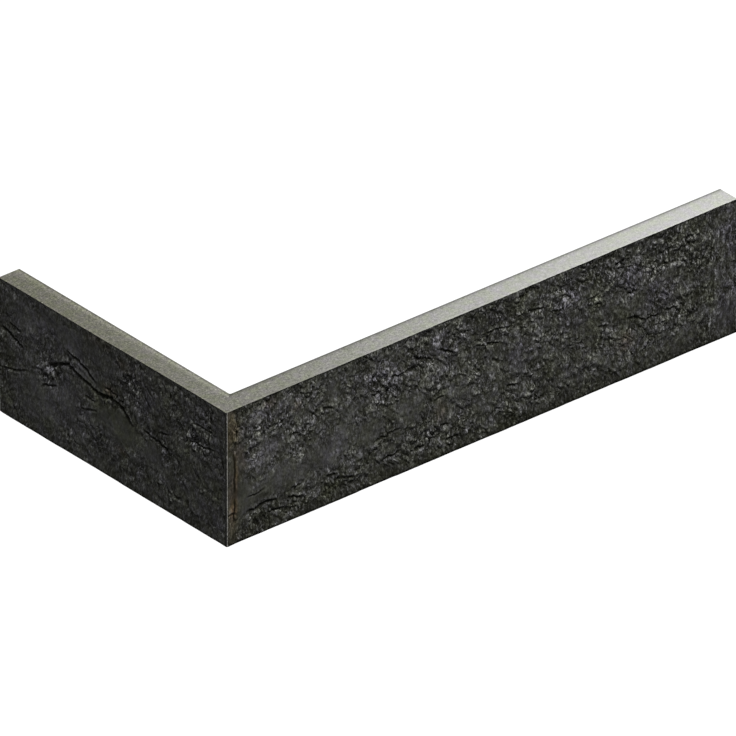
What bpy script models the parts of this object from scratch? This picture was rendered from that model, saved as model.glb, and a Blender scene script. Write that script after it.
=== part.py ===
"""Brick-look corner tile: one fired clay angle that wraps the outside corner of a wall.

The riven outer faces meet at a ground arris, the back is flat with shallow mortar keys, and the
top, bottom and ends are plain cut faces. The tile stands on its bottom cut face, with the long
leg along +X, the short leg along +Y and the arris at the near left. The origin is at the centre
of the box round the tile, on the ground.
"""

import math
from dataclasses import dataclass

import bmesh
import bpy
import numpy as np
from mathutils import Vector, noise

MM = 0.001

# The angle, measured over its outer faces
LONG_LEG = 282.0 * MM
SHORT_LEG = 150.0 * MM
HEIGHT = 65.0 * MM
THICKNESS = 11.5 * MM
ARRIS_FLAT = 0.5 * MM
INNER_FILLET = 0.8 * MM
FILLET_STEPS = 4

# Mortar keys: shallow grooves that run level along the back of both legs
KEY_PITCH = 11.0 * MM
KEY_MOUTH = 5.0 * MM
KEY_FLOOR = 4.0 * MM
KEY_DEPTH = 1.0 * MM
KEY_EDGE_LAND = 5.0 * MM

# Riven face: everything lies behind the flat outline of the face
FACET = 2.6 * MM
WAVE_DEPTH = 0.7 * MM
WAVE_LENGTH = 34.0 * MM
PLATE_DEPTH = 0.5 * MM
PLATE_LENGTH = 19.0 * MM
PLATE_EDGE = 0.16
PLATE_WIDER = 0.7
PLATE_LOWER = 1.4
HAMMER_DEPTH = 0.35 * MM
HAMMER_LENGTH = 8.0 * MM
EDGE_FADE = 5.0 * MM
EDGE_KEEPS = 0.25
RELIEF_SEED = 4.7
SMOOTH_UNDER = 30.0
FACING = 0.99

# Torn clay on top of the waves: mounds with creases between them. The sink keeps their tops
# behind the flat outline, and the swirl bends them out of rows
MOUND_SINK = 0.56 * MM
MOUND_FADE = 1.2 * MM
MOUND_KEEPS = 0.2
SWIRL = 3.0 * MM
SWIRL_LENGTH = 7.0 * MM
SWIRL_LAYERS = (61.7, 67.3)
TEAR_PATCH = 9.0 * MM
TEAR_LAYER = 23.1
TEAR_VARIES = 0.5

# What the noise usually gives: its spread, and the mean and spread of its size without sign
NOISE_SPREAD = 0.28
NOISE_SIZE = 0.82
NOISE_SIZE_SPREAD = 0.57

# Ledges: level cracks where the clay skin tore. Each is a run of points, given as shares of
# the leg's length from the arris and of the height from the bottom
LEDGE_DEPTH = 0.8 * MM
LEDGE_LIP = 1.6 * MM
LEDGE_RUN = 5.0 * MM
SHORT_LEG_LEDGES = (
    ((0.79, 0.55), (0.69, 0.64), (0.61, 0.61), (0.57, 0.55)),
    ((0.56, 0.54), (0.50, 0.57), (0.41, 0.48)),
    ((0.79, 0.71), (0.68, 0.73), (0.59, 0.64)),
    ((0.99, 0.63), (0.91, 0.58)),
    ((0.35, 0.48), (0.28, 0.45), (0.25, 0.42)),
    ((0.82, 0.35), (0.77, 0.42)),
)
LONG_LEG_LEDGES = (
    ((0.04, 0.17), (0.09, 0.20), (0.15, 0.15)),
    ((0.18, 0.72), (0.21, 0.70)),
    ((0.21, 0.14), (0.27, 0.12)),
    ((0.32, 0.74), (0.40, 0.75), (0.44, 0.73)),
    ((0.37, 0.80), (0.40, 0.75)),
    ((0.49, 0.71), (0.54, 0.65)),
    ((0.51, 0.76), (0.56, 0.76), (0.62, 0.78)),
    ((0.40, 0.24), (0.44, 0.20)),
    ((0.76, 0.48), (0.82, 0.39), (0.87, 0.32)),
    ((0.85, 0.82), (0.88, 0.83)),
    ((0.85, 0.74), (0.90, 0.72)),
)

# Room by which a cutter passes the clay that it cuts
CUTTER_MARGIN = 2.0 * MM

CHARCOAL = (0.035, 0.035, 0.033, 1.0)


@dataclass(frozen=True)
class Mounds:
    """One layer of the torn clay: the size of its mounds, how far they rise, and their creases."""

    size: float
    rise: float
    crease: float
    layer: float


@dataclass(frozen=True)
class Leg:
    """The riven outer face of one leg.

    side tells the two faces apart, tear is how deeply the clay is torn, and stretch is how much
    longer the mounds are along the leg than up it. lean is how far the tears lean along the leg,
    each with its place as a share of the leg's length from the arris.
    """

    length: float
    side: int
    tear: float
    stretch: float
    lean: tuple
    ledges: tuple


MOUNDS = (
    Mounds(size=9.0 * MM, rise=0.28 * MM, crease=0.3, layer=29.3),
    Mounds(size=5.0 * MM, rise=0.46 * MM, crease=0.6, layer=31.7),
)
LONG_FACE = Leg(
    length=LONG_LEG,
    side=1,
    tear=0.9,
    stretch=0.8,
    lean=((0.0, 0.0), (0.21, 0.15), (0.43, 0.35), (0.71, 0.3), (0.9, 0.05), (1.0, 0.0)),
    ledges=LONG_LEG_LEDGES,
)
SHORT_FACE = Leg(
    length=SHORT_LEG,
    side=-1,
    tear=0.42,
    stretch=1.3,
    lean=((0.0, 0.3), (0.27, 0.3), (0.53, 0.0), (1.0, -0.2)),
    ledges=SHORT_LEG_LEDGES,
)


def clear_scene():
    """Removes the objects that a new file starts with."""
    for item in list(bpy.data.objects):
        bpy.data.objects.remove(item)


def collection(name):
    """A new collection in the scene."""
    made = bpy.data.collections.new(name)
    bpy.context.scene.collection.children.link(made)
    return made


def charcoal_clay():
    """The dull charcoal skin of the fired clay."""
    material = bpy.data.materials.new("charcoal_clay")
    material.use_nodes = True
    shader = material.node_tree.nodes["Principled BSDF"]
    shader.inputs["Base Color"].default_value = CHARCOAL
    shader.inputs["Roughness"].default_value = 0.6
    shader.inputs["Metallic"].default_value = 0.0
    return material


def section_outline():
    """Corners of the angle seen from above, with the outside corner of the legs at (0, 0)."""
    centre = THICKNESS + INNER_FILLET
    fillet = []
    for step in range(FILLET_STEPS + 1):
        turn = math.radians(270) - math.radians(90) * step / FILLET_STEPS
        fillet.append((centre + INNER_FILLET * math.cos(turn), centre + INNER_FILLET * math.sin(turn)))
    return [
        (ARRIS_FLAT, 0.0),
        (LONG_LEG, 0.0),
        (LONG_LEG, THICKNESS),
        *fillet,
        (THICKNESS, SHORT_LEG),
        (0.0, SHORT_LEG),
        (0.0, ARRIS_FLAT),
    ]


def extruded_angle():
    """The plain angle as a mesh: its section, drawn as a flat outline and extruded upwards."""
    outline = bpy.data.curves.new("section", "CURVE")
    outline.dimensions = "2D"
    outline.fill_mode = "BOTH"
    outline.extrude = HEIGHT / 2
    corners = section_outline()
    spline = outline.splines.new("POLY")
    spline.points.add(len(corners) - 1)
    for point, (x, y) in zip(spline.points, corners):
        point.co = (x, y, 0.0, 1.0)
    spline.use_cyclic_u = True
    drawn = bpy.data.objects.new("section", outline)
    bpy.context.scene.collection.objects.link(drawn)
    graph = bpy.context.evaluated_depsgraph_get()
    mesh = bpy.data.meshes.new_from_object(drawn.evaluated_get(graph))
    bpy.data.objects.remove(drawn)
    shape = bmesh.new()
    shape.from_mesh(mesh)
    bmesh.ops.remove_doubles(shape, verts=shape.verts, dist=0.01 * MM)
    bmesh.ops.dissolve_limit(
        shape, angle_limit=math.radians(1), verts=shape.verts, edges=shape.edges
    )
    bmesh.ops.translate(shape, verts=shape.verts, vec=(0.0, 0.0, HEIGHT / 2))
    bmesh.ops.recalc_face_normals(shape, faces=shape.faces)
    shape.to_mesh(mesh)
    shape.free()
    return mesh


def slice_face(shape, outward, start, direction, length):
    """Cuts the flat face that looks outward into strips of about one facet each."""
    strips = max(1, round(length / FACET))
    for cut in range(1, strips):
        faces = [face for face in shape.faces if face.normal.dot(outward) > FACING]
        edges = {edge for face in faces for edge in face.edges}
        corners = {corner for face in faces for corner in face.verts}
        bmesh.ops.bisect_plane(
            shape,
            geom=[*faces, *edges, *corners],
            plane_co=start + direction * (length * cut / strips),
            plane_no=direction,
            dist=0.001 * MM,
        )


def smooth_step(value):
    """Rises from 0 to 1 with no corner at either end."""
    value = min(max(value, 0.0), 1.0)
    return value * value * (3.0 - 2.0 * value)


def ledge_depth(along, up, ledges, leg):
    """Depth of the nearest ledge: it drops sharply under its lip and runs out gently below."""
    deepest = 0.0
    for ledge in ledges:
        points = [(share * leg, rise * HEIGHT) for share, rise in ledge]
        for (x1, z1), (x2, z2) in zip(points, points[1:]):
            share = ((along - x1) * (x2 - x1) + (up - z1) * (z2 - z1)) / ((x2 - x1) ** 2 + (z2 - z1) ** 2)
            share = min(max(share, 0.0), 1.0)
            aside = along - x1 - share * (x2 - x1)
            above = up - z1 - share * (z2 - z1)
            reach = LEDGE_LIP if above > 0 else LEDGE_RUN
            away = math.hypot(aside / LEDGE_RUN, above / reach)
            deepest = max(deepest, LEDGE_DEPTH * smooth_step(1.0 - away))
    return deepest


def share_of_noise(place):
    """The noise at a place, as a share from 0 to 1."""
    return (noise.noise(place) + 1) / 2


def broad_depth(along, up, face):
    """Depth of the waves, the plates and the hammered dimples at a point of a face."""
    place = Vector((face.side * along, up, RELIEF_SEED))
    level = noise.noise(Vector((place.x * PLATE_WIDER, place.y * PLATE_LOWER, place.z)) / PLATE_LENGTH)
    plate = smooth_step((level + PLATE_EDGE / 2) / PLATE_EDGE)
    wave = share_of_noise(place / WAVE_LENGTH)
    hammer = share_of_noise(place / HAMMER_LENGTH)
    return WAVE_DEPTH * wave + PLATE_DEPTH * plate + HAMMER_DEPTH * hammer


def mound_depth(along, up, face):
    """Depth of the torn clay at a point of a face: least on the mounds, most in the creases."""
    stations, leans = zip(*face.lean)
    lean = np.interp(along / face.length, stations, leans)
    x = face.side * along + lean * (up - HEIGHT / 2)
    aside, rise = (
        SWIRL * noise.noise(Vector((x / SWIRL_LENGTH, up / SWIRL_LENGTH, layer))) for layer in SWIRL_LAYERS
    )
    varied = noise.noise(Vector((face.side * along / TEAR_PATCH, up / TEAR_PATCH, TEAR_LAYER)))
    depth = MOUND_SINK
    for mounds in MOUNDS:
        place = Vector(((x + aside) / face.stretch / mounds.size, (up + rise) / mounds.size, mounds.layer))
        wave = noise.noise(place) / NOISE_SPREAD
        mound = (abs(wave) - NOISE_SIZE) / NOISE_SIZE_SPREAD
        depth -= mounds.rise * ((1.0 - mounds.crease) * wave + mounds.crease * mound)
    return face.tear * (1.0 + TEAR_VARIES * varied) * depth


def riven_depth(along, up, face):
    """How far the skin lies behind the flat outline of a face, at a point of that face.

    along is measured from the arris and up from the bottom.
    """
    to_edge = min(up, HEIGHT - up, face.length - along)
    from_arris = along - ARRIS_FLAT
    kept = EDGE_KEEPS + (1.0 - EDGE_KEEPS) * smooth_step(to_edge / EDGE_FADE)
    at_arris = smooth_step(from_arris / EDGE_FADE)
    mounds_kept = smooth_step(to_edge / MOUND_FADE + MOUND_KEEPS) * smooth_step(from_arris / MOUND_FADE)
    broad = broad_depth(along, up, face) * kept
    ledge = ledge_depth(along, up, face.ledges, face.length) * smooth_step(to_edge / LEDGE_LIP)
    mounds = mound_depth(along, up, face) * mounds_kept
    return max(0.0, (broad + ledge) * at_arris + mounds)


def carve_riven_faces(mesh):
    """Cuts both outer faces into facets and sinks each corner of a facet to its depth."""
    shape = bmesh.new()
    shape.from_mesh(mesh)
    x, y, z = Vector((1, 0, 0)), Vector((0, 1, 0)), Vector((0, 0, 1))
    slice_face(shape, -y, x * ARRIS_FLAT, x, LONG_LEG - ARRIS_FLAT)
    slice_face(shape, -x, y * ARRIS_FLAT, y, SHORT_LEG - ARRIS_FLAT)
    slice_face(shape, -y, Vector(), z, HEIGHT)
    slice_face(shape, -x, Vector(), z, HEIGHT)
    flat = 0.001 * MM
    for corner in shape.verts:
        along_x, along_y, up = corner.co
        if abs(along_y) < flat and along_x > ARRIS_FLAT + flat:
            corner.co.y += riven_depth(along_x, up, LONG_FACE)
        elif abs(along_x) < flat and along_y > ARRIS_FLAT + flat:
            corner.co.x += riven_depth(along_y, up, SHORT_FACE)
    shape.to_mesh(mesh)
    shape.free()


def key_heights():
    """Mid-heights of the keys: as many as fit between the lands at top and bottom."""
    room = HEIGHT - 2 * KEY_EDGE_LAND - KEY_MOUTH
    count = max(1, math.floor(room / KEY_PITCH + 1e-6) + 1)
    return [HEIGHT / 2 + (number - (count - 1) / 2) * KEY_PITCH for number in range(count)]


def key_cutter(name, along, across, leg, group):
    """The keys of one leg as a cutter: one drafted bar for each, from the corner past the end.

    Args:
        name: the cutter's name.
        along: unit vector along the leg.
        across: unit vector out of the leg's back.
        leg: length of the leg over its outer face.
        group: collection that holds the cutters.
    """
    shape = bmesh.new()
    floor = THICKNESS - KEY_DEPTH
    out = THICKNESS + CUTTER_MARGIN
    draft = (KEY_MOUTH - KEY_FLOOR) / 2 / KEY_DEPTH
    start, end = floor, leg + CUTTER_MARGIN
    for height in key_heights():
        bar = bmesh.ops.create_cube(shape, size=1.0)["verts"]
        for corner in bar:
            reach = start if corner.co.x < 0 else end
            depth = floor if corner.co.y < 0 else out
            half = KEY_FLOOR / 2 + draft * (depth - floor)
            rise = height + math.copysign(half, corner.co.z)
            corner.co = along * reach + across * depth + Vector((0, 0, rise))
    bmesh.ops.recalc_face_normals(shape, faces=shape.faces)
    mesh = bpy.data.meshes.new(name)
    shape.to_mesh(mesh)
    shape.free()
    cutter = bpy.data.objects.new(name, mesh)
    cutter.display_type = "WIRE"
    cutter.hide_render = True
    group.objects.link(cutter)
    return cutter


def corner_tile(group, cutters):
    """The whole tile: the extruded angle with its riven faces and the keys in its back."""
    mesh = extruded_angle()
    carve_riven_faces(mesh)
    mesh.name = "corner_tile"
    mesh.shade_smooth()
    mesh.set_sharp_from_angle(angle=math.radians(SMOOTH_UNDER))
    tile = bpy.data.objects.new("corner_tile", mesh)
    mesh.materials.clear()
    mesh.materials.append(charcoal_clay())
    group.objects.link(tile)
    frame_shift = Vector((-LONG_LEG / 2, -SHORT_LEG / 2, 0.0))
    tile.location = frame_shift
    x, y = Vector((1, 0, 0)), Vector((0, 1, 0))
    legs = (("long_leg_keys", x, y, LONG_LEG), ("short_leg_keys", y, x, SHORT_LEG))
    for name, along, across, leg in legs:
        cutter = key_cutter(name, along, across, leg, cutters)
        cutter.location = frame_shift
        cut = tile.modifiers.new(name, "BOOLEAN")
        cut.operation = "DIFFERENCE"
        cut.solver = "EXACT"
        cut.object = cutter
    return tile


def main():
    """Builds the tile in an empty scene."""
    clear_scene()
    cutters = collection("cutters")
    cutters.hide_render = True
    corner_tile(collection("brick_look_corner_tile"), cutters)


main()
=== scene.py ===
"""Looks of the brick-look corner tile.

One fired clay angle stands on its bottom cut face. Its two outer faces are riven charcoal skin
that meets at a ground arris, and the cut faces, the ends and the keyed back show the speckled
grey body of the clay. Lengths are in metres, and MM turns millimetres into them.
"""

import logging
import math
from collections.abc import Callable, Iterator
from contextlib import contextmanager
from dataclasses import dataclass, field
from enum import Enum

import bmesh
import bpy
import numpy as np
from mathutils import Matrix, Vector, noise


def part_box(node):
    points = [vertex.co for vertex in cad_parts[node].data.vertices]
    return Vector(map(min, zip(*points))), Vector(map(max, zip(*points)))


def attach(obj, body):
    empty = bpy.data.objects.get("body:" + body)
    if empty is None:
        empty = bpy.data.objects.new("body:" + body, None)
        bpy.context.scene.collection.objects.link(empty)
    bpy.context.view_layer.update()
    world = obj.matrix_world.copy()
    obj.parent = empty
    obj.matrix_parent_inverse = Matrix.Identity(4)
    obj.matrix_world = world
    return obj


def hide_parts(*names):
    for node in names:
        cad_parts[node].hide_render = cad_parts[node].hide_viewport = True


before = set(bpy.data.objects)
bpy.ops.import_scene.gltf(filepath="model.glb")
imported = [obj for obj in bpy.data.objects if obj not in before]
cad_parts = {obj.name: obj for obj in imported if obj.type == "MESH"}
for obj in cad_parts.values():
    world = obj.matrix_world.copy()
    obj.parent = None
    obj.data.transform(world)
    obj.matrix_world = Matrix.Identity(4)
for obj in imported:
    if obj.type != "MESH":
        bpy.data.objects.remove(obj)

MM = 0.001
NODE = "corner_tile"
BODY = "root"
# How near two places count as the same one.
NEAR = 0.01 * MM
SMOOTH_BELOW = math.radians(55)
FLAT_BELOW = math.radians(1)
WHITE = (1.0, 1.0, 1.0, 1.0)
# The cosines that tell which way a face looks.
LEVEL = 0.99
FACING = 0.9
SLANTED = 0.5
# The two colour inputs of a Mix node, and its colour output.
MIX_INPUTS = (6, 7)
MIX_OUTPUT = 2

Array = np.ndarray
Colour = tuple[float, float, float, float]
Pair = tuple[float, float]
Node = bpy.types.Node
Piece = bpy.types.Object
Socket = bpy.types.NodeSocket
Value = Socket | Colour | float
Test = Callable[[Vector, Vector], bool]

log = logging.getLogger("corner_tile")


class Surface(Enum):
    """The kinds of surface on the tile, each with the index of its material."""

    LONG_SKIN = 0
    SHORT_SKIN = 1
    ARRIS = 2
    CUT = 3
    BACK = 4


class Part(Enum):
    """The parts of a mesh that can be selected."""

    FACE = "faces"
    EDGE = "edges"


class Layer(Enum):
    """The layer of the noise that each irregularity of the skin reads."""

    BEND = 11.3
    FRAY = 17.9
    UNEVEN = 23.1
    SWIRL_ALONG = 61.7
    SWIRL_UP = 67.3


class Mask(Enum):
    """Values that the carving leaves on the mesh for the materials to read."""

    # Painted shade in the cracks, and a painted highlight on their lips.
    CRACK = "crack"
    # Tone that follows the carved relief: painted highlight on the mounds and painted shade in the creases.
    GRAIN = "grain"
    ROUGH = "rough"
    # Pale and dark patches of tone, small painted highlights, and painted shade towards the bed.
    PALE = "pale"
    COOL = "cool"
    WARM = "warm"
    RUST = "rust"
    RIM = "rim"


def deselect_all() -> None:
    """Leaves no object selected."""
    bpy.ops.object.select_all(action="DESELECT")


def make_active(piece: Piece) -> None:
    """Selects one object alone and makes it active.

    Args:
        piece: the object to work on.
    """
    deselect_all()
    piece.select_set(True)
    bpy.context.view_layer.objects.active = piece


def add_box(name: str, low: Vector, high: Vector) -> Piece:
    """Adds a box between two corners, with its place in its mesh.

    Args:
        name: name of the new object.
        low: lowest corner.
        high: highest corner.

    Returns:
        The box, selected and active.
    """
    deselect_all()
    bpy.ops.mesh.primitive_cube_add(size=1.0, location=(low + high) / 2, scale=high - low)
    bpy.ops.object.transform_apply(location=True, rotation=True, scale=True)
    box = bpy.context.active_object
    box.name = name
    return box


@contextmanager
def editing(piece: Piece) -> Iterator[None]:
    """Keeps one object in edit mode.

    Args:
        piece: the object to edit.
    """
    make_active(piece)
    bpy.ops.object.mode_set(mode="EDIT")
    yield
    bpy.ops.object.mode_set(mode="OBJECT")


def select(piece: Piece, part: Part, test: Test) -> None:
    """Selects the faces or the edges of the edited mesh that pass a test.

    Args:
        piece: the object in edit mode.
        part: whether faces or edges are meant.
        test: takes a face's centre and normal, or an edge's two ends.
    """
    bpy.ops.mesh.select_all(action="DESELECT")
    bpy.ops.mesh.select_mode(type=part.name)
    shape = bmesh.from_edit_mesh(piece.data)
    for item in getattr(shape, part.value):
        if part is Part.FACE:
            chosen = test(item.calc_center_median(), item.normal)
        else:
            chosen = test(item.verts[0].co, item.verts[1].co)
        if chosen:
            item.select_set(True)
    bmesh.update_edit_mesh(piece.data)


def is_level(a: Vector, b: Vector) -> bool:
    """True for an edge whose two ends are equally high."""
    return abs(a.z - b.z) < NEAR


def apply_modifier(piece: Piece, name: str) -> None:
    """Applies one modifier of an object."""
    make_active(piece)
    bpy.ops.object.modifier_apply(modifier=name)


def smooth_step(value: Array) -> Array:
    """Rises from 0 to 1 with no corner at either end."""
    value = np.clip(value, 0.0, 1.0)
    return value * value * (3.0 - 2.0 * value)


def waves(along: Array, up: Array, layer: float, length: float, stretch: float = 1.0) -> Array:
    """Smooth noise over a face.

    Args:
        along: places along the leg, in metres.
        up: places up the face, in metres.
        layer: which layer of the noise is read.
        length: length of one wave, in metres.
        stretch: how much longer the waves are along the leg than up it.

    Returns:
        Values from about -1 to 1, one for each place.
    """
    points = zip((along / (length * stretch)).tolist(), (up / length).tolist())
    return np.array([noise.noise((x, z, layer)) for x, z in points])


@dataclass(frozen=True)
class Crack:
    """A crack where the clay skin tore: points in mm from the arris and above the bed. Its mask paints shade
    in the crack and a highlight on its lip.
    """

    points: tuple[Pair, ...]
    depth: float = 0.7
    half_width: float = 0.45
    ledge: float = 0.35
    # The lip stands a little proud and is painted pale: a painted highlight on the torn edge.
    lip: float = 0.3
    lip_away: float = 2.4
    lip_width: float = 1.1
    taper: float = 4.0
    blunt: float = 0.35

    def carve(self, along: Array, up: Array, run: float) -> tuple[Array, Array]:
        """Depth of the crack at each place, with its painted shade and the painted highlight on its lip.

        Args:
            along: places along the leg, in mm.
            up: places up the face, in mm.
            run: how far the skin below takes to come back to its level, in mm.

        Returns:
            How deep the skin lies there, in mm, and how far it is in the crack: 1 in it, painted dark as
            shade, and under 0 on its lips, painted pale as a highlight.
        """
        lengths = [math.dist(a, b) for a, b in zip(self.points, self.points[1:])]
        total = sum(lengths)
        away = np.full(along.shape, np.inf)
        above = np.zeros(along.shape)
        place = np.zeros(along.shape)
        passed = 0.0
        for (x1, z1), (x2, z2), length in zip(self.points, self.points[1:], lengths):
            share = ((along - x1) * (x2 - x1) + (up - z1) * (z2 - z1)) / length**2
            share = np.clip(share, 0.0, 1.0)
            aside, over = along - x1 - share * (x2 - x1), up - z1 - share * (z2 - z1)
            gap = np.hypot(aside, over)
            nearer = gap < away
            away = np.where(nearer, gap, away)
            above = np.where(nearer, over, above)
            place = np.where(nearer, (passed + share * length) / total, place)
            passed += length
        taper = smooth_step(self.taper * np.minimum(place, 1.0 - place) + self.blunt)
        cut = np.exp(-((away / self.half_width) ** 2)) * taper
        shelf = np.where(above < 0, np.exp(-away / run) * taper, cut)
        past_lip = (away / self.half_width - self.lip_away) / self.lip_width
        lip = np.exp(-(past_lip**2)) * taper
        # The second value paints shade in the crack and a highlight on its lip.
        return self.depth * cut + self.ledge * (shelf - self.lip * lip), cut - self.lip * lip


@dataclass(frozen=True)
class Patch:
    """A round patch of a face: its middle and half sizes in mm, and how strong it is."""

    along: float
    up: float
    half_length: float
    half_height: float
    strength: float = 1.0
    edge: float = 1.4

    def weight(self, along: Array, up: Array) -> Array:
        """How much each place, in mm, belongs to the patch."""
        away = np.hypot((along - self.along) / self.half_length, (up - self.up) / self.half_height)
        return self.strength * smooth_step(self.edge - away)


def patches(*rows: tuple[float, ...]) -> tuple[Patch, ...]:
    """Makes one patch of each row of numbers.

    Args:
        rows: for each patch its middle, its half sizes and, where it isn't 1, its strength.

    Returns:
        The patches.
    """
    return tuple(Patch(*row) for row in rows)


def total_weight(parts: tuple[Patch, ...], along: Array, up: Array) -> Array:
    """Sum of the weights of some patches at each place, in mm."""
    return sum((patch.weight(along, up) for patch in parts), np.zeros(along.shape))


@dataclass(frozen=True)
class Mounds:
    """One layer of the torn clay: mounds of one size, with creases between them."""

    length: float
    rise: float
    layer: float
    stretch: float = 1.0
    crease: float = 0.5

    def shape(self, x: Array, up: Array) -> Array:
        """How far each place stands out, in spreads of the layer.

        Args:
            x: places along the leg, in metres.
            up: places above the bed, in metres.

        Returns:
            The shape of the layer.
        """
        wave = waves(x, up, self.layer, self.length, self.stretch)
        wave = wave / wave.std()
        mound = np.abs(wave)
        mixed = (1.0 - self.crease) * wave + self.crease * (mound - mound.mean()) / mound.std()
        return mixed / mixed.std()


@dataclass(frozen=True)
class RivenSkin:
    """The carving of one outer face: its waves, plates, mounds, cracks and stains, and masks that paint light
    and shade on it.

    Bend and fray say how many mm the noise moves each place, and patch_bend and crack_bend are the
    shares of that along the leg and up it. The rim's shares go with the top, the bed, the leg's end
    and the arris, and lean is the lean of the mounds at shares of the leg.
    """

    side: int
    cracks: tuple[Crack, ...]
    coarse: tuple[Patch, ...]
    pale: tuple[Patch, ...]
    cool: tuple[Patch, ...]
    warm: tuple[Patch, ...]
    rust: tuple[Patch, ...]
    dragged: tuple[Patch, ...]
    mounds: tuple[Mounds, ...]
    drags: Mounds
    mound_base: float
    lean: tuple[Pair, ...]
    rim_shares: tuple[float, float, float, float]
    wave_depth: float = 0.7 * MM
    wave_length: float = 34.0 * MM
    plate_depth: float = 0.5 * MM
    plate_length: float = 19.0 * MM
    plate_edge: float = 0.16
    plate_squeeze: Pair = (0.7, 1.4)
    hammer_depth: float = 0.35 * MM
    hammer_length: float = 8.0 * MM
    ledge_run: float = 3.5
    edge_fade: float = 5.0 * MM
    edge_keeps: float = 0.25
    mound_fade: float = 1.2 * MM
    mound_keeps: float = 0.2
    crack_fade: float = 1.0 * MM
    low_fade: float = 5.0 * MM
    low_keeps: float = 0.5
    arris: float = 0.5 * MM
    rim: float = 0.9 * MM
    pale_share: float = 0.75
    # Painted shade: the skin grows darker towards the bed over the foot's height.
    foot_shade_steps: float = 0.6
    foot_shade: float = 9.0 * MM
    sink: float = 1.1
    bend: float = 1.1
    bend_length: float = 5.0 * MM
    fray: float = 0.5
    fray_length: float = 1.9 * MM
    patch_bend: Pair = (0.6, 1.0)
    crack_bend: Pair = (0.3, 0.45)
    coarse_limits: Pair = (0.2, 1.6)
    uneven: float = 0.5
    uneven_length: float = 9.0 * MM
    swirl: float = 3.0 * MM
    swirl_length: float = 7.0 * MM
    drag_takes: float = 0.6
    seed: float = 4.7

    def carve(self, along: Array, up: Array, leg: float, height: float) -> dict[str, Array]:
        """Works out the depth of the skin and its masks.

        Args:
            along: places from the arris along the leg, in metres.
            up: places above the bed, in metres.
            leg: length of the leg.
            height: height of the tile.

        Returns:
            The depth in metres under "depth", and each mask under its name.
        """
        x = self.side * (along + self.arris)
        wave = 0.5 + 0.5 * waves(x, up, self.seed / self.wave_length, self.wave_length)
        squeeze_x, squeeze_up = self.plate_squeeze
        level = waves(squeeze_x * x, squeeze_up * up, self.seed / self.plate_length, self.plate_length)
        plate = smooth_step(0.5 + level / self.plate_edge)
        hammer = 0.5 + 0.5 * waves(x, up, self.seed / self.hammer_length, self.hammer_length)
        broad = self.wave_depth * wave + self.plate_depth * plate + self.hammer_depth * hammer

        bent = self.bend * waves(x, up, Layer.BEND.value, self.bend_length)
        bent += self.fray * waves(x, up, Layer.FRAY.value, self.fray_length)
        places = along / MM + self.patch_bend[0] * bent, up / MM + self.patch_bend[1] * bent
        coarse = np.clip(self.mound_base + total_weight(self.coarse, *places), *self.coarse_limits)
        coarse *= 1.0 + self.uneven * waves(x, up, Layer.UNEVEN.value, self.uneven_length)
        dragged = np.clip(total_weight(self.dragged, *places), 0.0, 1.0)
        relief, tone = self.torn(along, up, leg, height, dragged)
        crack_depth, crack_shade_and_lip = self.open_cracks(along / MM, up / MM, bent)

        # Painted shade, darker towards the bed.
        foot_shade = self.foot_shade_steps * (1.0 - smooth_step(up / self.foot_shade))
        to_edge = np.minimum(np.minimum(up, height - up), leg - along)
        kept = self.edge_keeps + (1.0 - self.edge_keeps) * smooth_step(to_edge / self.edge_fade)
        at_arris = smooth_step(along / self.edge_fade)
        fine = coarse * (self.sink * relief.std() - relief)
        fine_kept = smooth_step(to_edge / self.mound_fade + self.mound_keeps)
        fine_kept *= smooth_step(along / self.mound_fade)
        fine_kept *= self.low_keeps + (1.0 - self.low_keeps) * smooth_step(up / self.low_fade)
        cracks_kept = smooth_step(to_edge / self.crack_fade) * smooth_step(along / self.crack_fade)
        depth = broad * kept * at_arris + fine * fine_kept + crack_depth * MM * cracks_kept
        rim = np.zeros(along.shape)
        for share, distance in zip(self.rim_shares, (height - up, up, leg - along, along)):
            rim = np.maximum(rim, share * (1.0 - smooth_step(distance / self.rim)))
        stains = {
            mask.value: np.clip(total_weight(stained, *places), 0.0, 1.0)
            for mask, stained in ((Mask.COOL, self.cool), (Mask.WARM, self.warm), (Mask.RUST, self.rust))
        }
        return stains | {
            "depth": depth,
            # painted shade in the cracks, painted highlight on their lips
            Mask.CRACK.value: crack_shade_and_lip,
            # painted light and shade of the relief: paler mounds, darker creases
            Mask.GRAIN.value: tone,
            Mask.ROUGH.value: coarse,
            # pale and dark patches, painted highlight spots, and painted shade towards the bed
            Mask.PALE.value: self.pale_share * total_weight(self.pale, *places) - foot_shade,
            Mask.RIM.value: rim,
        }

    def open_cracks(self, along: Array, up: Array, bent: Array) -> tuple[Array, Array]:
        """Depth of the cracks in mm, and how far each place is in one of them.

        Args:
            along: places along the leg, in mm.
            up: places up the face, in mm.
            bent: how far the noise moves each place, in mm.

        Returns:
            The depth of the strongest crack at each place, and its painted shade, with a painted highlight on
            its lips.
        """
        depth, mask = np.zeros(along.shape), np.zeros(along.shape)
        places = along + self.crack_bend[0] * bent, up + self.crack_bend[1] * bent
        for crack in self.cracks:
            new_depth, new_mask = crack.carve(*places, self.ledge_run)
            depth = np.where(np.abs(new_depth) > np.abs(depth), new_depth, depth)
            mask = np.where(np.abs(new_mask) > np.abs(mask), new_mask, mask)
        return depth, mask

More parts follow.
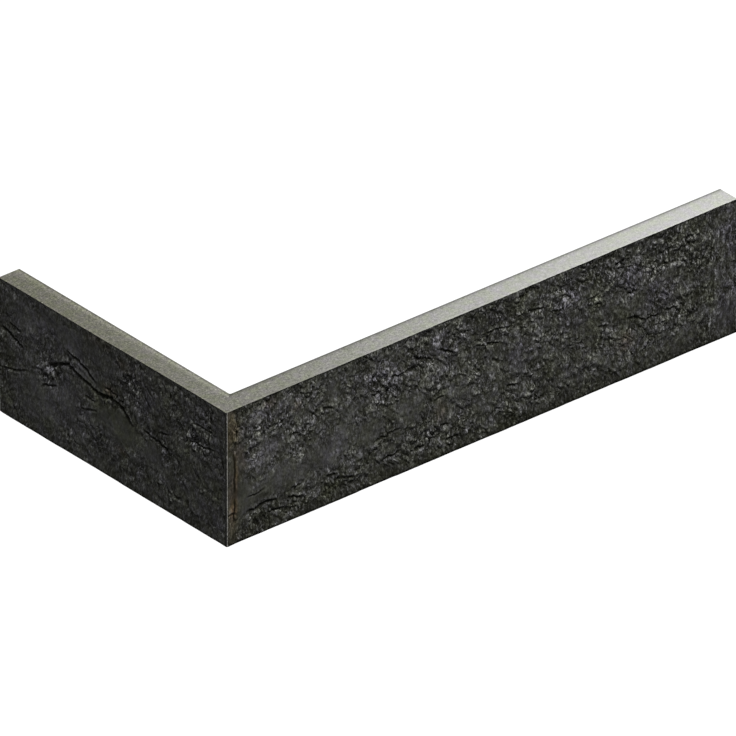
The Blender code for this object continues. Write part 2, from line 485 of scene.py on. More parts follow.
    def torn(
        self, along: Array, up: Array, leg: float, height: float, dragged: Array
    ) -> tuple[Array, Array]:
        """Height of the torn clay in metres, and its tone in spreads from its mean, which paints highlights
        on the mounds and shade in the creases.

        Args:
            along: places from the arris along the leg, in metres.
            up: places above the bed, in metres.
            leg: length of the leg.
            height: height of the tile.
            dragged: how far drag marks take the place of mounds, 0 to 1.

        Returns:
            How far each place stands out, and how pale it is: paler on the mounds and darker in the creases,
            as painted light and shade.
        """
        stations, leans = zip(*self.lean)
        lean = np.interp((along + self.arris) / (leg + self.arris), stations, leans)
        face_x, face_up = self.side * (along + self.arris), up
        x = face_x + lean * (up - height / 2)
        swirl_x = self.swirl * waves(x, up, Layer.SWIRL_ALONG.value, self.swirl_length)
        swirl_up = self.swirl * waves(x, up, Layer.SWIRL_UP.value, self.swirl_length)
        x, up = x + swirl_x, up + swirl_up
        relief = np.zeros(along.shape)
        tone = np.zeros(along.shape)
        for mounds in self.mounds:
            shape = mounds.shape(x, up)
            relief += mounds.rise * shape
            # The tone follows the height: a painted highlight on the mounds and painted shade in the creases.
            tone += shape
        tone /= tone.std()
        drag = self.drags.shape(face_x, face_up)
        relief += dragged * (self.drags.rise * drag - self.drag_takes * relief)
        tone += dragged * (drag - self.drag_takes * tone)
        return relief, tone


LONG_SKIN = RivenSkin(
    side=1,
    cracks=(
        Crack(((12, 19.5), (16, 19), (21, 20.5)), 0.4, 0.35, 0.2),
        Crack(((13, 12.2), (18, 12), (23, 13), (28, 12.5)), 0.9, 0.6, 0.5),
        Crack(((33, 11), (37, 10.5), (42, 9)), 0.6, 0.5, 0.3),
        Crack(((24, 7.5), (31, 7.5)), 0.6),
        Crack(((36, 15), (41, 15.5)), 0.4, 0.35, 0.2),
        Crack(((60, 9), (63, 9.5), (67, 8), (73, 8)), 0.6),
        Crack(((56, 13), (61, 12)), 0.5),
        Crack(((53, 47), (58, 46)), 0.5),
        Crack(((37, 41), (40, 40.5)), 0.4),
        Crack(((29, 49), (32, 48.5)), 0.4),
        Crack(((82, 20.5), (88, 20.5), (95, 21.5)), 0.5, 0.4, 0.3),
        Crack(((86, 9.5), (96, 10)), 0.5),
        Crack(((90, 47.5), (96, 47.5), (104, 47.5)), 0.7, 0.45, 0.4),
        Crack(((105, 51.5), (109, 50), (113, 48.5)), 0.9, 0.6, 0.5),
        Crack(((117, 52), (121, 49.5), (125, 47)), 0.7, 0.45, 0.4),
        Crack(((138, 46), (142, 45), (147, 43.5), (152, 42)), 0.6, 0.4, 0.4),
        Crack(((143, 49.5), (150, 49.5), (156, 49)), 0.6, 0.4, 0.3),
        Crack(((147, 36), (151, 33.5)), 0.5),
        Crack(((115, 27.5), (120, 28)), 0.6),
        Crack(((114, 15), (119, 14.5), (123, 13)), 0.6),
        Crack(((166, 52.5), (172, 51), (176, 50.5)), 0.6),
        Crack(((102, 7.5), (110, 8)), 0.5),
        Crack(((121, 6.5), (130, 6)), 0.5),
        Crack(((170, 7.5), (176, 8)), 0.5),
        Crack(((155, 19.5), (160, 19.5)), 0.5),
        Crack(((180, 46.5), (185, 46.5)), 0.5),
        Crack(((221, 28.5), (225, 28), (229, 25.5), (233, 24), (238, 24), (242, 22)), 0.65, 0.42, 0.4),
        Crack(((243, 24.5), (248, 24)), 0.5),
        Crack(((240, 53), (244, 53.5), (248, 54)), 0.6),
        Crack(((216, 57), (221, 57)), 0.5),
        Crack(((222, 40), (227, 40)), 0.5),
        Crack(((241, 47.5), (250, 46.5)), 0.6),
        Crack(((205, 30), (211, 28)), 0.5),
        Crack(((6.3, 54), (5.6, 49), (5.9, 44)), 0.4, 0.35, 0.0),
        Crack(((4.4, 43), (5.2, 37), (4.3, 30), (4.9, 24)), 0.6, 0.4, 0.0),
        Crack(((4.9, 21), (4.3, 15), (4.8, 10)), 0.4, 0.35, 0.0),
    ),
    coarse=patches(
        (8, 28, 5, 22, -0.55), (28, 21, 20, 8, -0.55), (58, 27, 15, 11, -0.5), (80, 26, 8, 8, -0.5),
        (101, 29, 9, 8, -0.55), (124, 25, 12, 7, -0.3), (160, 31, 12, 10, -0.3), (215, 34, 22, 6, -0.25),
        (60, 60, 12, 5, -0.2), (2, 32, 3, 60, -0.4), (90, 45, 10, 7, 0.1), (118, 50, 18, 9, 0.1),
        (185, 53, 8, 7, 0.35), (166, 57, 13, 6, 0.3), (238, 52, 26, 9, 0.3), (263, 42, 8, 14, 0.25),
        (250, 19, 8, 7, 0.25), (107, 11, 8, 5, 0.25), (205, 56, 14, 6, 0.25), (26, 36, 10, 8, -0.35),
        (13, 15, 7, 5, -0.3), (59, 50, 7, 6, -0.35), (101, 41, 6, 5, 0.35), (144, 16, 6, 5, -0.3),
        (207, 6, 14, 4, -0.25), (254, 8, 7, 6, -0.35), (278, 8, 6, 8, -0.35), (11, 58, 6, 5, 0.3),
    ),
    # Pale and dark patches of the skin's tone; the small strong pale spots are painted highlights.
    pale=patches(
        (24, 12, 18, 8, -0.45), (62, 9, 13, 6, -0.55), (89, 18, 18, 7, -0.3), (4.2, 28, 2.6, 14, -0.7),
        (7, 36, 4, 26, -0.25), (1.2, 14, 2.4, 16, 0.45), (140, 56, 6, 7, -0.6), (116, 16, 5, 5, -0.3),
        (217, 31, 18, 6, -0.35), (226, 28, 9, 5, -0.5), (170, 22, 26, 5, -0.2), (262, 20, 7, 8, -0.2),
        (18, 40, 12, 8, 0.15), (37, 33, 5, 8, 0.22), (84, 40, 14, 11, 0.32), (117, 52, 6, 10, 0.2),
        (171, 39, 7, 10, 0.35), (185, 54, 5, 4, 0.45), (228, 48, 6, 10, 0.35), (245, 36, 7, 9, 0.2),
        (273, 45, 5, 12, 0.35), (216, 18, 5, 9, 0.3), (122, 20, 4, 4, 0.4), (20, 57, 14, 5, 0.15),
        (186, 54, 1.6, 1.4, 1.3), (124, 17.5, 2.4, 1.8, 1.3), (115.5, 56, 1.6, 3, 1.2),
        (118.8, 54, 1.2, 4, -0.9), (185, 9, 6, 5, 0.35), (117, 16, 2, 1.6, -1.0), (266, 38, 5, 5, -0.45),
        (278, 9, 6, 9, -0.35), (253, 34, 6, 6, -0.6), (163, 18, 6, 5, -0.3), (197, 42, 5, 6, 0.3),
        (59, 48, 6, 6, -0.35), (93, 50, 5, 4, -0.35), (46, 56, 5, 5, 0.35), (268, 12, 5, 6, -0.3),
        (112, 46, 4, 4, -0.3), (194, 28, 5, 5, 0.3), (129, 52, 4, 5, 0.3), (3, 52, 4.5, 9, -0.3),
        (4.6, 14, 2, 10, -0.2),
    ),
    cool=patches(
        (25, 55, 14, 6, 0.7), (22, 37, 13, 7, 0.7), (53, 26, 14, 9, 0.6), (82, 49, 15, 11, 0.7),
        (119, 50, 9, 10, 0.7), (149, 56, 7, 4, 0.8), (164, 35, 9, 7), (190, 42, 7, 16), (225, 46, 11, 7),
        (240, 34, 10, 9), (226, 14, 7, 4, 0.7), (278, 30, 7, 40), (190, 15, 10, 5, 0.5),
        (128, 17, 8, 4, 0.6),
    ),
    warm=patches(
        (2.5, 46, 4.5, 24, 0.6), (3.5, 32, 4.5, 70, 0.5), (59, 6, 6, 4, 0.8), (154, 5, 6, 4, 0.8),
        (118, 27, 4, 8, 0.6), (180, 17, 5, 7, 0.6), (220, 30, 5, 10, 0.6), (267, 26, 6, 6, 0.9),
        (204, 35, 4, 24, 0.6), (164, 57, 6, 6, 0.6), (258, 60, 8, 5, 0.6),
    ),
    rust=patches(
        (3, 40, 4.5, 60, 0.35), (3.9, 26, 2.6, 16), (5, 53, 5, 9, 0.15), (7.5, 38, 3.5, 9, 0.3),
        (24, 60, 4, 3, 0.2), (39, 53, 3, 3, 0.2), (118, 22, 4, 5, 0.25), (219, 18, 6, 5, 0.3),
    ),
    dragged=patches(
        (273, 30, 11, 45), (178, 55, 14, 7, 0.8), (117, 56, 6, 6, 0.8), (238, 45, 12, 12, 0.4),
        (192, 40, 12, 12, 0.4),
    ),
    mounds=(
        Mounds(9.0 * MM, 0.20 * MM, 29.3, 0.8, 0.3),
        Mounds(5.0 * MM, 0.33 * MM, 31.7, 0.8, 0.6),
        Mounds(2.8 * MM, 0.31 * MM, 37.3, 0.58, 0.8),
        Mounds(1.6 * MM, 0.20 * MM, 41.9, 0.66, 0.5),
    ),
    drags=Mounds(7.0 * MM, 0.25 * MM, 53.1, 0.2, 0.0),
    mound_base=0.9,
    lean=((0.0, 0.0), (0.21, 0.15), (0.43, 0.35), (0.71, 0.3), (0.9, 0.05), (1.0, 0.0)),
    rim_shares=(0.55, 2.1, 0.3, 0.3),
    foot_shade_steps=1.15,
)

SHORT_SKIN = RivenSkin(
    side=-1,
    cracks=(
        Crack(
            (
                (118, 35.5), (113, 38.5), (105, 41.5), (99, 39.5), (92, 37.8), (87, 36),
                (82, 36.5), (79, 37.5), (72, 36.8), (67, 34), (62.5, 31),
            ),
            0.9, 0.68, 0.6,
        ),
        Crack(((105, 48), (99, 46), (93, 44), (87, 40.5)), 0.8, 0.6, 0.4),
        Crack(((81, 41.5), (74, 41), (69, 39)), 0.6, 0.4, 0.3),
        Crack(((149, 41.5), (147, 41), (143, 39.5), (136, 37)), 0.8, 0.55, 0.5),
        Crack(((144, 45), (139, 44.5), (136, 43)), 0.6, 0.4, 0.3),
        Crack(((55, 32), (48, 31), (44, 30.2), (40, 29), (37.5, 27.5)), 0.7, 0.5, 0.5),
        Crack(((45, 35.5), (39, 36.5)), 0.5, 0.35, 0.2),
        Crack(((25, 40), (15, 41), (8, 42)), 0.6, 0.35, 0.2),
        Crack(((22, 50), (10, 50)), 0.5, 0.35, 0.2),
        Crack(((35, 10), (32.5, 9), (31, 10)), 0.6, 0.5, 0.2),
        Crack(((123, 23.5), (118, 26), (113, 28)), 0.5, 0.35, 0.3),
        Crack(((95, 31), (88, 30.5)), 0.5, 0.35, 0.3),
        Crack(((97, 24), (92, 25.5), (86, 27)), 0.4, 0.35, 0.2),
        Crack(((148, 22), (140, 24), (132, 27)), 0.3, 0.4, 0.3),
    ),
    coarse=patches(
        (118, 34, 8, 10, 0.45), (75, 38, 9, 5, 0.15), (94, 41.5, 9, 3.5, -0.3), (62, 48, 7, 10, 0.35),
        (19, 41, 8, 6, 0.35), (13, 52, 5, 7, 0.25), (28, 48, 18, 9, 0.2), (40, 28, 5, 6, 0.3),
        (86, 14, 7, 4, 0.15), (60, 11, 12, 5, 0.15), (104, 26, 6, 12, -0.25), (124, 17, 14, 12, -0.25),
        (72, 27, 13, 7, -0.45), (49, 23, 6, 4, -0.3), (98, 55, 16, 8, -0.3), (136, 54, 12, 8, -0.2),
        (26, 25, 5, 5, -0.25), (56, 20, 22, 8, -0.15), (78, 51, 6, 6, -0.2), (117, 58, 12, 5, -0.2),
        (88, 25, 6, 5, -0.2), (8, 29, 5, 6, -0.2), (47, 47, 5, 5, -0.2), (42, 12, 6, 5, 0.2),
        (66, 16, 5, 4, 0.2),
    ),
    # Pale and dark patches of the skin's tone; the small strong pale spots are painted highlights.
    pale=patches(
        (131, 50, 6, 8, 0.3), (122, 32, 5, 7, 0.45), (112, 22, 13, 10, 0.4), (105, 48, 7, 5, 0.25),
        (61, 46, 6, 7, 0.5), (62, 27, 6, 6, -0.35), (77, 53, 6, 5, -0.2), (30, 46, 7, 5, 0.3),
        (50, 18, 9, 4, 0.15), (76, 15, 5, 5, 0.2), (74, 37, 13, 8, -0.5), (45, 35, 7, 9, -0.6),
        (141, 31, 5, 10, -0.25), (93, 55, 7, 6, -0.2), (33, 9, 8, 5, -0.2), (10, 26, 6, 15, -0.25),
        (14.5, 54, 2.2, 1.8, 0.8), (123, 32, 2, 2, 0.8), (66, 40, 1.6, 1.4, 0.9), (59.5, 8, 2, 1.6, 0.8),
        (66, 32, 2.5, 2, -0.7), (146, 39, 4, 5, -0.3), (149, 25, 5, 40, -0.25), (6, 49, 4, 6, -0.3),
        (88, 26, 5, 4, -0.25), (117, 36, 5, 8, 0.25), (96, 50, 6, 5, 0.25), (10, 18, 4, 4, -0.2),
    ),
    cool=patches(
        (105, 24, 14, 14, 0.5), (118, 50, 22, 12, 0.5), (56, 48, 9, 10, 0.6), (10, 12, 9, 8, 0.6),
        (15, 56, 12, 5, 0.4),
    ),
    warm=patches(
        (83, 34, 14, 9), (65, 26, 12, 11), (38, 51, 6, 10), (27, 29, 10, 10), (30, 9, 11, 5),
        (9, 21, 8, 6), (143, 28, 6, 6, 0.8), (145, 9, 5, 7, 0.8), (117, 7, 6, 4, 0.7), (70, 10, 5, 6, 0.8),
        (48, 10, 6, 4, 0.7), (75, 62, 70, 3, 0.6),
    ),
    rust=patches(
        (65, 57, 8, 4, 0.3), (78, 41, 5, 2.5, 0.35), (70, 15.5, 4, 2, 0.35), (85, 62, 10, 3, 0.2),
    ),
    dragged=patches(
        (131, 34, 5, 8, 0.8), (111, 24, 7, 9, 0.8), (120, 40, 5, 6, 0.5),
    ),
    mounds=(
        Mounds(9.0 * MM, 0.18 * MM, 29.3, 1.3, 0.3),
        Mounds(5.0 * MM, 0.28 * MM, 31.7, 1.3, 0.7),
        Mounds(2.8 * MM, 0.30 * MM, 37.3, 0.95, 0.9),
        Mounds(1.6 * MM, 0.20 * MM, 41.9, 0.85, 0.6),
    ),
    drags=Mounds(7.0 * MM, 0.22 * MM, 53.1, 0.22, 0.0),
    mound_base=0.55,
    lean=((0.0, 0.3), (0.27, 0.3), (0.53, 0.0), (1.0, -0.2)),
    rim_shares=(1.0, 1.6, 0.3, 2.4),
    pale_share=1.0,
)


@dataclass
class CornerTile:
    """The fired clay angle, between the corners that the frame gives."""

    low: Vector
    high: Vector
    thickness: float = 11.5 * MM
    arris: float = 0.5 * MM
    inner_fillet: float = 0.8 * MM
    fillet_steps: int = 4
    key_pitch: float = 11.0 * MM
    key_mouth: float = 5.0 * MM
    key_floor: float = 4.0 * MM
    key_depth: float = 1.0 * MM
    key_count: int = 5
    key_ease: float = 0.25 * MM
    ease_steps: int = 2
    key_clear: float = 1.05
    cutter_margin: float = 2.0 * MM
    facet: float = 0.56 * MM
    piece: Piece = field(init=False)

    @property
    def size(self) -> Vector:
        """Lengths of the long and the short leg over their outer faces, and the height."""
        return self.high - self.low

    @property
    def inner(self) -> Vector:
        """Foot of the edge where the two backs would meet."""
        return Vector((self.low.x + self.thickness, self.low.y + self.thickness, self.low.z))

    @property
    def behind(self) -> Vector:
        """A corner just deeper than the floors of the keys: all that is past it belongs to the back."""
        return self.inner.xy - Vector((self.key_depth, self.key_depth)) * self.key_clear

    def build(self) -> Piece:
        """Makes the whole tile.

        Returns:
            The finished piece.
        """
        far_corner = Vector((self.high.x, self.inner.y, self.high.z))
        self.piece = add_box("riven_corner_tile", self.low.copy(), far_corner)
        self.turn_short_leg()
        self.ease_corner()
        self.cut_keys()
        self.ease_back()
        self.grid_faces()
        self.assign_surfaces()
        self.carve()
        make_active(self.piece)
        bpy.ops.object.shade_smooth_by_angle(angle=SMOOTH_BELOW)
        return self.piece

    def turn_short_leg(self) -> None:
        """Extrudes the short leg from the back of the long one."""
        reach = self.high.y - self.inner.y
        with editing(self.piece):
            bpy.ops.mesh.select_all(action="SELECT")
            bpy.ops.mesh.bisect(plane_co=self.inner, plane_no=(1.0, 0.0, 0.0))
            select(
                self.piece, Part.FACE, lambda centre, normal: normal.y > FACING and centre.x < self.inner.x
            )
            bpy.ops.mesh.extrude_region_move(TRANSFORM_OT_translate={"value": (0.0, reach, 0.0)})
            bpy.ops.mesh.select_all(action="SELECT")
            bpy.ops.mesh.dissolve_limited(angle_limit=FLAT_BELOW)

    def ease_corner(self) -> None:
        """Grinds the arris and rounds the edge where the two backs meet."""

        def upright_at(corner: Vector) -> Test:
            """A test for the edge that stands on a corner."""
            return lambda a, b: max((a.xy - corner).length, (b.xy - corner).length) < NEAR

        with editing(self.piece):
            for corner, offset, segments in (
                (self.low.xy, self.arris, 1), (self.inner.xy, self.inner_fillet, self.fillet_steps),
            ):
                select(self.piece, Part.EDGE, upright_at(corner))
                bpy.ops.mesh.bevel(offset=offset, segments=segments, affect="EDGES")

    def key_bars(self, name: str, low: Vector, high: Vector, floor: Vector) -> Piece:
        """Makes the cutter for the keys of one leg.

        Args:
            name: the cutter's name.
            low: lowest corner of the lowest bar.
            high: highest corner of the lowest bar.
            floor: the way from the back of the leg to the floor of its keys.

        Returns:
            One drafted bar for each key, as one object.
        """
        bars = add_box(name, low, high)
        with editing(bars):
            select(bars, Part.FACE, lambda centre, normal: normal.dot(floor) > FACING)
            bpy.ops.transform.resize(value=(1.0, 1.0, self.key_floor / (high.z - low.z)))
        repeat = bars.modifiers.new("keys", "ARRAY")
        repeat.count = self.key_count
        repeat.use_relative_offset = False
        repeat.use_constant_offset = True
        repeat.constant_offset_displace = (0.0, 0.0, self.key_pitch)
        apply_modifier(bars, repeat.name)
        return bars

    def cut_keys(self) -> None:
        """Cuts the level mortar keys into the backs of both legs."""
        draft = (self.key_mouth - self.key_floor) / self.key_depth
        tall = self.key_mouth + draft * self.cutter_margin
        middle = self.low.z + self.size.z / 2 - (self.key_count - 1) / 2 * self.key_pitch
        floor = self.inner.xy - Vector((self.key_depth, self.key_depth))
        past = self.inner.xy + Vector((self.cutter_margin, self.cutter_margin))
        low = Vector((*floor, middle - tall / 2))
        for name, far_x, far_y, to_floor in (
            ("long_keys", self.high.x + self.cutter_margin, past.y, Vector((0.0, -1.0, 0.0))),
            ("short_keys", past.x, self.high.y + self.cutter_margin, Vector((-1.0, 0.0, 0.0))),
        ):
            cutter = self.key_bars(name, low, Vector((far_x, far_y, middle + tall / 2)), to_floor)
            difference = self.piece.modifiers.new(name, "BOOLEAN")
            difference.operation = "DIFFERENCE"
            difference.solver = "EXACT"
            difference.object = cutter
            apply_modifier(self.piece, difference.name)
            bpy.data.objects.remove(cutter)

    def ease_back(self) -> None:
        """Rounds the level edges of the back and its keys."""
        behind, ends = self.behind, self.high.xy - Vector((NEAR, NEAR))

        def level_and_behind(a: Vector, b: Vector) -> bool:
            """True for a level edge of the back or of a key that isn't on a leg's end."""
            x, y = min(a.x, b.x), min(a.y, b.y)
            return is_level(a, b) and behind.x < x < ends.x and behind.y < y < ends.y

        with editing(self.piece):
            select(self.piece, Part.EDGE, level_and_behind)
            bpy.ops.mesh.bevel(
                offset=self.key_ease, segments=self.ease_steps, affect="EDGES", clamp_overlap=True
            )

    def grid_faces(self) -> None:
        """Divides the two outer faces and the arris into facets for the carving."""
        on_long, on_short = self.low.y + NEAR, self.low.x + NEAR
        divided: tuple[tuple[Test, float], ...] = (
            (lambda a, b: is_level(a, b) and max(a.y, b.y) < on_long, self.size.x),
            (lambda a, b: is_level(a, b) and max(a.x, b.x) < on_short, self.size.y),
            (lambda a, b: (a.xy - b.xy).length < NEAR and (a.y < on_long or a.x < on_short), self.size.z),
        )
        with editing(self.piece):
            for test, length in divided:
                parts = length / self.facet
                first = max(2, round(math.sqrt(parts)))
                for share in (first, round(parts / first)):
                    select(self.piece, Part.EDGE, test)
                    bpy.ops.mesh.subdivide(number_cuts=share - 1)

    def assign_surfaces(self) -> None:
        """Gives each face the number of its surface."""
        mesh, behind = self.piece.data, self.behind
        for _ in Surface:
            mesh.materials.append(None)
        for face in mesh.polygons:
            centre, normal = face.center, face.normal
            surface = Surface.CUT
            if normal.y < -FACING and centre.y < self.low.y + NEAR:
                surface = Surface.LONG_SKIN
            elif normal.x < -FACING and centre.x < self.low.x + NEAR:
                surface = Surface.SHORT_SKIN
            elif normal.x < -SLANTED and normal.y < -SLANTED:
                surface = Surface.ARRIS
            elif abs(normal.z) < LEVEL and centre.x > behind.x and centre.y > behind.y:
                at_end = normal.x > FACING and centre.x > self.high.x - NEAR
                at_end = at_end or (normal.y > FACING and centre.y > self.high.y - NEAR)
                surface = Surface.CUT if at_end else Surface.BACK
            face.material_index = surface.value

    def carve(self) -> None:
        """Sinks the outer faces to the depth of their riven skin and stores the masks."""
        mesh = self.piece.data
        flat = np.empty(len(mesh.vertices) * 3, dtype=np.float32)
        mesh.vertices.foreach_get("co", flat)
        points = flat.reshape(-1, 3).astype(float)
        masks = {mask.value: np.zeros(len(points)) for mask in Mask}
        from_low = points - np.array(self.low)
        skins = ((LONG_SKIN, 0, 1, self.size.x), (SHORT_SKIN, 1, 0, self.size.y))
        for skin, along_axis, depth_axis, leg in skins:
            on_face = np.abs(from_low[:, depth_axis]) < NEAR
            along = from_low[on_face, along_axis] - self.arris
            carved = skin.carve(along, from_low[on_face, 2], leg - self.arris, self.size.z)
            points[on_face, depth_axis] += np.maximum(carved.pop("depth"), 0.0)
            for name, values in carved.items():
                masks[name][on_face] = values
        mesh.vertices.foreach_set("co", points.astype(np.float32).ravel())
        for name, values in masks.items():
            layer = mesh.attributes.new(name, "FLOAT", "POINT")
            layer.data.foreach_set("value", values.astype(np.float32))
        mesh.update()


class Wires:
    """Adds nodes to one node tree and wires them up."""

    def __init__(self, tree: bpy.types.NodeTree) -> None:
        """Starts on a tree.

        Args:
            tree: the tree that gets the nodes.
        """
        self.tree = tree

    def add(self, kind: str, settings: dict | None = None, *values: Value, **inputs: Value) -> Node:
        """Adds a node.

        Args:
            kind: the node's type.
            settings: properties to set on it.
            values: a value or an output for each of its first inputs.
            inputs: the same for each named input, with _ for a space.

        Returns:
            The new node.
        """
        node = self.tree.nodes.new(kind)
        for name, value in (settings or {}).items():
            setattr(node, name, value)
        for socket, value in zip(node.inputs, values):
            self.feed(socket, value)
        for name, value in inputs.items():
            self.feed(node.inputs[name.replace("_", " ")], value)
        return node

    def feed(self, socket: Socket, value: Value) -> None:
        """Sets an input to a value, or links an output to it.

        Args:
            socket: the input.
            value: the value or the output.
        """
        if isinstance(value, Socket):
            self.tree.links.new(value, socket)
        else:
            socket.default_value = value

    def math(self, operation: str, *terms: Value) -> Socket:
        """Adds a Math node and returns its output."""
        return self.add("ShaderNodeMath", {"operation": operation}, *terms).outputs[0]

    def mix(self, share: Value, first: Value, second: Value, blend: str = "MIX") -> Socket:
        """Mixes two colours.

        Args:
            share: how much of the second colour there is, 0 to 1.
            first: the first colour.
            second: the second colour.
            blend: the way of mixing.

        Returns:
            The mixed colour.
        """
        node = self.add("ShaderNodeMix", {"data_type": "RGBA", "blend_type": blend}, share)
        for index, colour in zip(MIX_INPUTS, (first, second)):
            self.feed(node.inputs[index], colour)
        return node.outputs[MIX_OUTPUT]

    def scale(self, colour: Value, by: Value) -> Socket:
        """Multiplies a colour by a number and returns the result."""
        return self.add("ShaderNodeVectorMath", {"operation": "SCALE"}, colour, Scale=by).outputs[0]

    def spread(self, value: Value, low: float, high: float, to: Pair = (0.0, 1.0)) -> Socket:
        """Maps a range of a value to another range, with smooth ends, and returns it."""
        inputs = {"Value": value, "From_Min": low, "From_Max": high, "To_Min": to[0], "To_Max": to[1]}
        return self.add("ShaderNodeMapRange", {"interpolation_type": "SMOOTHSTEP"}, **inputs).outputs[0]

    def noise(
        self, place: Socket, scale: Value, detail: float, rough: float = 0.5, swirl: float = 0.0
    ) -> Socket:
        """Adds noise and returns its value."""
        inputs = {"Vector": place, "Scale": scale, "Detail": detail, "Roughness": rough, "Distortion": swirl}
        return self.add("ShaderNodeTexNoise", **inputs).outputs[0]

    def coat(self, **inputs: Value) -> None:
        """Feeds the named inputs of the Principled shader, with _ for a space."""
        for name, value in inputs.items():
            self.feed(self.tree.nodes["Principled BSDF"].inputs[name.replace("_", " ")], value)

    def bump(self, height: Socket, strength: float, depth: float) -> None:
        """Gives the Principled shader a bump with a depth in metres."""
        bump = self.add("ShaderNodeBump", Strength=strength, Distance=depth, Height=height)
        self.coat(Normal=bump.outputs["Normal"])

    def mask(self, mask: Mask) -> Socket:
        """Reads one of the masks that the carving left on the mesh."""
        return self.add("ShaderNodeAttribute", {"attribute_name": mask.value}).outputs["Fac"]


@dataclass(frozen=True)
class ClayGrain:
    """The node group for the sand in the clay: specks, pits, mottling, grain and height."""

    name: str = "clay_grain"
    speck_edges: Pair = (0.60, 0.74)
    pit_edges: Pair = (0.62, 0.74)
    mottle_edges: Pair = (0.3, 0.7)
    speck_height: float = 0.6
    swirl: float = 1.0
    gain: float = 9.0

    def group(self) -> bpy.types.NodeTree:
        """Makes the group, unless it is there.

        Returns:
            The group.
        """
        found = bpy.data.node_groups.get(self.name)
        if found:
            return found
        group = bpy.data.node_groups.new(self.name, "ShaderNodeTree")
        group.interface.new_socket("Place", in_out="INPUT", socket_type="NodeSocketVector")
        for in_out, labels in (
            ("INPUT", ("Speck Scale", "Mottle Scale", "Sand Scale", "Grain Scale")),
            ("OUTPUT", ("Specks", "Pits", "Mottle", "Grain", "Height")),
        ):
            for label in labels:
                group.interface.new_socket(label, in_out=in_out, socket_type="NodeSocketFloat")
        wires = Wires(group)
        start = wires.add("NodeGroupInput").outputs
        end = wires.add("NodeGroupOutput").inputs

        def layer(scale: Socket, shift: float, detail: float = 1.0, swirl: float = 0.0) -> Socket:
            """Noise at a scale, in a place of its own."""
            place = wires.add("ShaderNodeVectorMath", {"operation": "ADD"}, start["Place"], (shift,) * 3)
            return wires.noise(place.outputs[0], scale, detail, swirl=swirl)

        specks = layer(start["Speck Scale"], shift=0.31)
        pits = layer(start["Speck Scale"], shift=0.77)
        mottle = layer(start["Mottle Scale"], shift=0.13, detail=3.0)
        sand = layer(start["Sand Scale"], shift=0.57, detail=2.0)
        fine = layer(start["Grain Scale"], shift=0.91, swirl=self.swirl)
        half = wires.math("MULTIPLY", start["Grain Scale"], 0.5)
        coarse = layer(half, shift=0.43, swirl=self.swirl)
        grain = wires.math("MULTIPLY_ADD", wires.math("ADD", fine, coarse), self.gain, -self.gain)
        wires.feed(end["Specks"], wires.spread(specks, *self.speck_edges))
        wires.feed(end["Pits"], wires.spread(pits, *self.pit_edges))
        wires.feed(end["Mottle"], wires.spread(mottle, *self.mottle_edges))
        wires.feed(end["Grain"], grain)
        wires.feed(end["Height"], wires.math("MULTIPLY_ADD", specks, self.speck_height, sand))
        return group


def new_material(name: str) -> tuple[bpy.types.Material, Wires]:
    """Makes a material with a Principled shader.

    Args:
        name: the material's name.

    Returns:
        The material and its wires.
    """
    material = bpy.data.materials.new(name)
    material.use_nodes = True
    return material, Wires(material.node_tree)


@dataclass(frozen=True)
class GrainSizes:
    """Sizes that a material asks of the clay grain, in metres, and how much taller than wide it is."""

    speck: float
    mottle: float
    sand: float
    grain: float
    upright: float = 1.0

    def add(self, wires: Wires) -> tuple[Socket, Node]:
        """Adds the object's coordinates and the clay grain that reads them.

        Args:
            wires: the material's wires.

        Returns:
            The place, and the node of the group.
        """
        place = wires.add("ShaderNodeTexCoord").outputs["Object"]
        lay = place
        if self.upright != 1.0:
            squeezed = wires.add("ShaderNodeMapping", Vector=place, Scale=(1.0, 1.0, 1.0 / self.upright))
            lay = squeezed.outputs["Vector"]
        node = wires.add(
            "ShaderNodeGroup",
            {"node_tree": ClayGrain().group()},
            Place=lay,
            Speck_Scale=1.0 / self.speck,
            Mottle_Scale=1.0 / self.mottle,
            Sand_Scale=1.0 / self.sand,
            Grain_Scale=1.0 / self.grain,
        )
        return place, node


